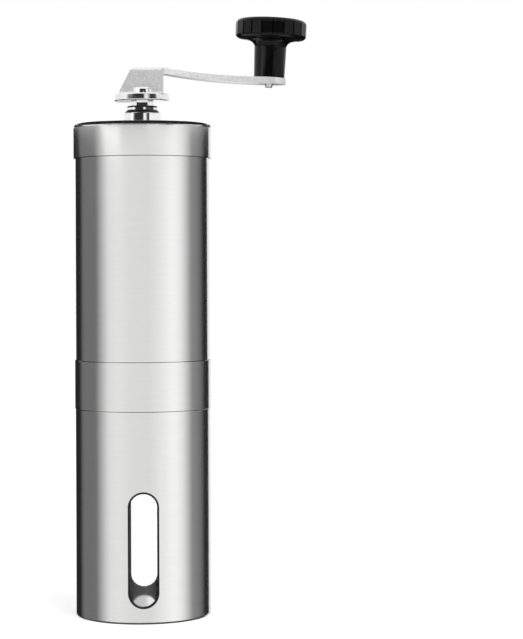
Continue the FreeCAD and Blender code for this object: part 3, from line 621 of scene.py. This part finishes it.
def make_knob_rule(numbers):
    """Profile turned about its axis, its rim cut into flat lands with a narrow groove between them."""
    tree, given, result = new_rule("knob_rule", numbers)
    links = tree.links
    grid = add_node(tree, "GeometryNodeMeshGrid")
    links.new(given.outputs["Around"], grid.inputs["Vertices X"])
    links.new(given.outputs["Along"], grid.inputs["Vertices Y"])
    place = add_node(tree, "GeometryNodeInputPosition")
    split = add_node(tree, "ShaderNodeSeparateXYZ")
    links.new(place.outputs[0], split.inputs[0])
    turn = math_node(tree, "ADD", split.outputs["X"], 0.5)
    last = math_node(tree, "SUBTRACT", given.outputs["Along"], 1.0)
    level = math_node(tree, "ADD", split.outputs["Y"], 0.5)
    row = math_node(tree, "ROUND", math_node(tree, "MULTIPLY", level, last))
    sample = add_node(tree, "GeometryNodeSampleIndex", data_type="FLOAT_VECTOR", domain="POINT")
    links.new(given.outputs["Geometry"], sample.inputs["Geometry"])
    links.new(place.outputs[0], sample.inputs["Value"])
    links.new(row, sample.inputs["Index"])
    outline = add_node(tree, "ShaderNodeSeparateXYZ")
    links.new(sample.outputs[0], outline.inputs[0])

    # Distance across one land, from its middle, in shares of the land
    lands = given.outputs["Lands"]
    across = math_node(tree, "FRACT", math_node(tree, "MULTIPLY", turn, lands))
    share = math_node(tree, "SUBTRACT", across, 0.5)
    land_angle = math_node(tree, "DIVIDE", 2 * math.pi, lands)
    flat = math_node(tree, "COSINE", math_node(tree, "MULTIPLY", land_angle, 0.5))
    lean = math_node(tree, "COSINE", math_node(tree, "MULTIPLY", land_angle, share))
    land = math_node(tree, "MULTIPLY", given.outputs["Head"], math_node(tree, "DIVIDE", flat, lean))
    edge = math_node(tree, "SUBTRACT", 0.5, math_node(tree, "ABSOLUTE", share))
    groove = add_node(tree, "ShaderNodeMapRange", interpolation_type="SMOOTHSTEP")
    links.new(edge, groove.inputs["Value"])
    links.new(given.outputs["Groove Share"], groove.inputs["From Max"])
    links.new(given.outputs["Groove Depth"], groove.inputs["To Min"])
    set_inputs(groove, To_Max=0.0)
    limit = math_node(tree, "SUBTRACT", land, groove.outputs["Result"])
    radius = math_node(tree, "MINIMUM", outline.outputs["X"], limit)

    bearing = math_node(tree, "MULTIPLY", turn, 2 * math.pi)
    spot = add_node(tree, "ShaderNodeCombineXYZ")
    links.new(math_node(tree, "MULTIPLY", radius, math_node(tree, "COSINE", bearing)), spot.inputs["X"])
    links.new(math_node(tree, "MULTIPLY", radius, math_node(tree, "SINE", bearing)), spot.inputs["Y"])
    links.new(outline.outputs["Z"], spot.inputs["Z"])
    moved = add_node(tree, "GeometryNodeSetPosition")
    links.new(grid.outputs["Mesh"], moved.inputs["Geometry"])
    links.new(spot.outputs[0], moved.inputs["Position"])
    merged = add_node(tree, "GeometryNodeMergeByDistance")
    merged.inputs["Distance"].default_value = merge_gap
    links.new(moved.outputs[0], merged.inputs["Geometry"])
    placed = add_node(tree, "GeometryNodeTransform")
    placed.inputs["Translation"].default_value = knob_seat
    placed.inputs["Rotation"].default_value = (0.0, knob_tilt, 0.0)
    links.new(merged.outputs[0], placed.inputs["Geometry"])
    close_rule(tree, given, result, placed.outputs[0])
    return tree


def make_knob():
    """Moulded knob with a ring of flat lands."""
    profile = [(r * mm, 0.0, z * mm) for r, z in knob_profile()]
    mesh = bpy.data.meshes.new("knob_profile")
    mesh.from_pydata(profile, [(i, i + 1) for i in range(len(profile) - 1)], [])
    numbers = {
        "Around": knob_lands * knob_steps_per_land + 1,
        "Along": len(profile),
        "Lands": knob_lands,
        "Head": knob_head * mm,
        "Groove Depth": knob_groove_depth * mm,
        "Groove Share": knob_groove_share,
    }
    knob = grow("knob_body", make_knob_rule(numbers), mesh, numbers, finishes["knob_plastic"])
    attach(knob, "knob")
    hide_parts("knob")


def make_spring_rule(numbers):
    """Round wire wound into an even coil."""
    tree, given, result = new_rule("spring_rule", numbers)
    coil = add_node(tree, "GeometryNodeCurveSpiral")
    set_inputs(coil, Resolution=spring_steps)
    tree.links.new(given.outputs["Turns"], coil.inputs["Rotations"])
    tree.links.new(given.outputs["Radius"], coil.inputs["Start Radius"])
    tree.links.new(given.outputs["Radius"], coil.inputs["End Radius"])
    tree.links.new(given.outputs["Height"], coil.inputs["Height"])
    wire = add_node(tree, "GeometryNodeCurvePrimitiveCircle")
    set_inputs(wire, Resolution=wire_sides)
    tree.links.new(given.outputs["Wire"], wire.inputs["Radius"])
    sweep = add_node(tree, "GeometryNodeCurveToMesh")
    sweep.inputs["Fill Caps"].default_value = True
    tree.links.new(coil.outputs[0], sweep.inputs["Curve"])
    tree.links.new(wire.outputs[0], sweep.inputs["Profile Curve"])
    raised = add_node(tree, "GeometryNodeTransform")
    lift = add_node(tree, "ShaderNodeCombineXYZ")
    tree.links.new(given.outputs["Base"], lift.inputs["Z"])
    tree.links.new(lift.outputs[0], raised.inputs["Translation"])
    tree.links.new(sweep.outputs[0], raised.inputs["Geometry"])
    close_rule(tree, given, result, raised.outputs[0])
    return tree


def make_spring():
    """Coil spring above the inner burr, as long as the solid it stands in for."""
    low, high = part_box("burr_spring")
    numbers = {
        "Turns": spring_turns,
        "Radius": (high[0] - low[0] - spring_wire) / 2,
        "Height": high[2] - low[2] - spring_wire,
        "Wire": spring_wire / 2,
        "Base": low[2] + spring_wire / 2,
    }
    mesh = bpy.data.meshes.new("spring_start")
    spring = grow("spring_coil", make_spring_rule(numbers), mesh, numbers, finishes["plain_steel"])
    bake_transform(spring)
    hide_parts("burr_spring")


# Studio

def make_camera():
    """Level camera in front of the mill, turned towards the picture's middle."""
    data = bpy.data.cameras.new("camera")
    data.sensor_width = sensor_length
    data.lens = focal_pixels / picture_height * sensor_length
    data.shift_y = (horizon_row - picture_height / 2) / picture_height
    camera = bpy.data.objects.new("camera", data)
    turn = math.atan((picture_width / 2 - axis_column) / focal_pixels)
    place = Matrix.Translation((0, -camera_distance, camera_height))
    aim = Matrix.Rotation(-turn, 4, "Z") @ Matrix.Rotation(math.radians(90), 4, "X")
    stand = Matrix.Rotation(math.radians(camera_bearing), 4, "Z") @ place
    camera.matrix_world = stand @ aim @ Matrix.Rotation(math.radians(camera_roll), 4, "Z")
    scene.collection.objects.link(camera)
    scene.camera = camera


def seen_directly(tree):
    """1 where a ray comes from the camera, a reflection or clear plastic, and 0 for diffuse light."""
    path = add_node(tree, "ShaderNodeLightPath")
    glossy = path.outputs["Is Glossy Ray"]
    mirrored = math_node(tree, "MAXIMUM", glossy, path.outputs["Is Transmission Ray"])
    return math_node(tree, "MAXIMUM", path.outputs["Is Camera Ray"], mirrored)


def make_world():
    """White surroundings to look at, and a softer level that lights the mill."""
    world = bpy.data.worlds.new("studio")
    world.use_nodes = True
    scene.world = world
    tree = world.node_tree
    background = tree.nodes["Background"]
    background.inputs["Color"].default_value = (1, 1, 1, 1)
    level = add_node(tree, "ShaderNodeMapRange")
    set_inputs(level, To_Min=ambient_level, To_Max=1.0)
    tree.links.new(seen_directly(tree), level.inputs["Value"])
    tree.links.new(level.outputs["Result"], background.inputs["Strength"])


def make_floor():
    """Pale floor that keeps the mill's shadow."""
    mesh = bpy.data.meshes.new("floor")
    half = floor_reach / 2
    corners = [(-half, -half, 0), (half, -half, 0), (half, half, 0), (-half, half, 0)]
    mesh.from_pydata(corners, [], [(0, 1, 2, 3)])
    floor = bpy.data.objects.new("floor", mesh)
    scene.collection.objects.link(floor)
    material, tree, shader = new_material("floor")
    set_inputs(shader, Base_Color=(*grey(floor_tone), 1), Roughness=floor_roughness)
    set_inputs(shader, Specular_IOR_Level=0.0, Emission_Color=(1, 1, 1, 1))
    lift = math_node(tree, "MULTIPLY", seen_directly(tree), floor_lift)
    tree.links.new(lift, shader.inputs["Emission Strength"])
    mesh.materials.append(material)
    floor.visible_glossy = False


def place_card(name, points, faces, tones):
    """Card that only reflections see, lit by its own tones."""
    mesh = bpy.data.meshes.new(name)
    mesh.from_pydata(points, [], faces)
    mesh.attributes.new("tone", "FLOAT", "POINT").data.foreach_set("value", tones)
    material = bpy.data.materials.new(name)
    material.use_nodes = True
    tree = material.node_tree
    tree.nodes.remove(tree.nodes["Principled BSDF"])
    glow = add_node(tree, "ShaderNodeEmission")
    shade = add_node(tree, "ShaderNodeAttribute", attribute_name="tone")
    tree.links.new(shade.outputs["Fac"], glow.inputs["Strength"])
    tree.links.new(glow.outputs[0], tree.nodes["Material Output"].inputs["Surface"])
    mesh.materials.append(material)
    card = bpy.data.objects.new(name, mesh)
    card.visible_camera = False
    card.visible_diffuse = False
    card.visible_transmission = False
    card.visible_shadow = False
    scene.collection.objects.link(card)


def make_flag(name, radius, low, high, shades, center=0.0):
    """Upright curved card, with a tone at each of its bearings from left to right."""
    points = []
    tones = []
    for (start, first), (end, last) in zip(shades, shades[1:]):
        steps = max(2, int((end - start) / card_step))
        for step in range(steps + 1):
            share = step / steps
            bearing = math.radians(start + share * (end - start))
            x = center + radius * math.sin(bearing)
            y = -radius * math.cos(bearing)
            points += [(x, y, low), (x, y, high)]
            tones += [first + share * (last - first)] * 2
    faces = [(i, i + 2, i + 3, i + 1) for i in range(0, len(points) - 2, 2)]
    place_card(name, points, faces, tones)


def dark_span(start, end):
    """Tones of a dark card between two bearings, soft at both ends."""
    fade_end = end - front_fade / 2
    return [(start - front_fade, lit_tone), (start, front_tone), (fade_end, front_tone), (end, lit_tone)]


def lift_edge(edge):
    """Edge of a ring, raised by the thickness of a card."""
    return (edge[0], edge[1] + card_thickness)


def make_ring_card(name, inner, outer, tone, reach=full_reach, middle=0.0):
    """Ring above or below the mill, on both sides of a bearing, which rounded edges show as a line."""
    points = []
    for side in range(ring_sides + 1):
        bearing = math.radians(middle + reach * (2 * side / ring_sides - 1))
        for radius, height in (inner, outer):
            points.append((radius * math.sin(bearing), -radius * math.cos(bearing), height))
    faces = [(i, i + 1, i + 3, i + 2) for i in range(0, 2 * ring_sides, 2)]
    place_card(name, points, faces, [tone] * len(points))


def make_lamp(name, place, aim, size, power):
    """Square soft lamp that points at a spot."""
    data = bpy.data.lights.new(name, "AREA")
    data.shape = "SQUARE"
    data.size = size
    data.energy = power
    lamp = bpy.data.objects.new(name, data)
    lamp.location = place
    lamp.visible_glossy = False
    lamp.rotation_mode = "QUATERNION"
    lamp.rotation_quaternion = (Vector(aim) - Vector(place)).to_track_quat("-Z", "Y")
    scene.collection.objects.link(lamp)


def make_cards():
    """Cards round the mill that give its steel and its knob their bright and dark bands."""
    make_flag("tent", tent_radius, tent_low, tent_high, tent_tones)
    for name, (low, high, spans) in front_tiers.items():
        for span in spans:
            make_flag(name + "_card", front_radius, low, high, dark_span(*span))
    knob_shades = dark_span(*knob_card_span)
    make_flag("knob_card", tent_radius, knob_card_low, knob_card_high, knob_shades, center=knob_seat[0])
    make_flag("arm_card", tent_radius, tent_high, arm_card_high, arm_card_tones)
    make_ring_card("lid_card", lid_card_inner, lid_card_outer, lid_card_tone, lid_card_reach)
    lid_card_top = (lift_edge(lid_card_inner), lift_edge(lid_card_outer))
    make_ring_card("lid_card_top", *lid_card_top, lit_tone, lid_card_reach)
    lid_back = (lid_back_inner, lid_back_outer)
    make_ring_card("lid_back_card", *lid_back, lid_card_tone, lid_back_reach, back_bearing)
    make_ring_card("under_card", under_card_inner, under_card_outer, under_card_tone)


dress_nodes()
make_knob()
make_spring()
make_camera()
make_world()
make_floor()
make_cards()
make_lamp("key_lamp", lamp_place, lamp_aim, lamp_size, lamp_power)
scene.view_settings.view_transform = "Standard"
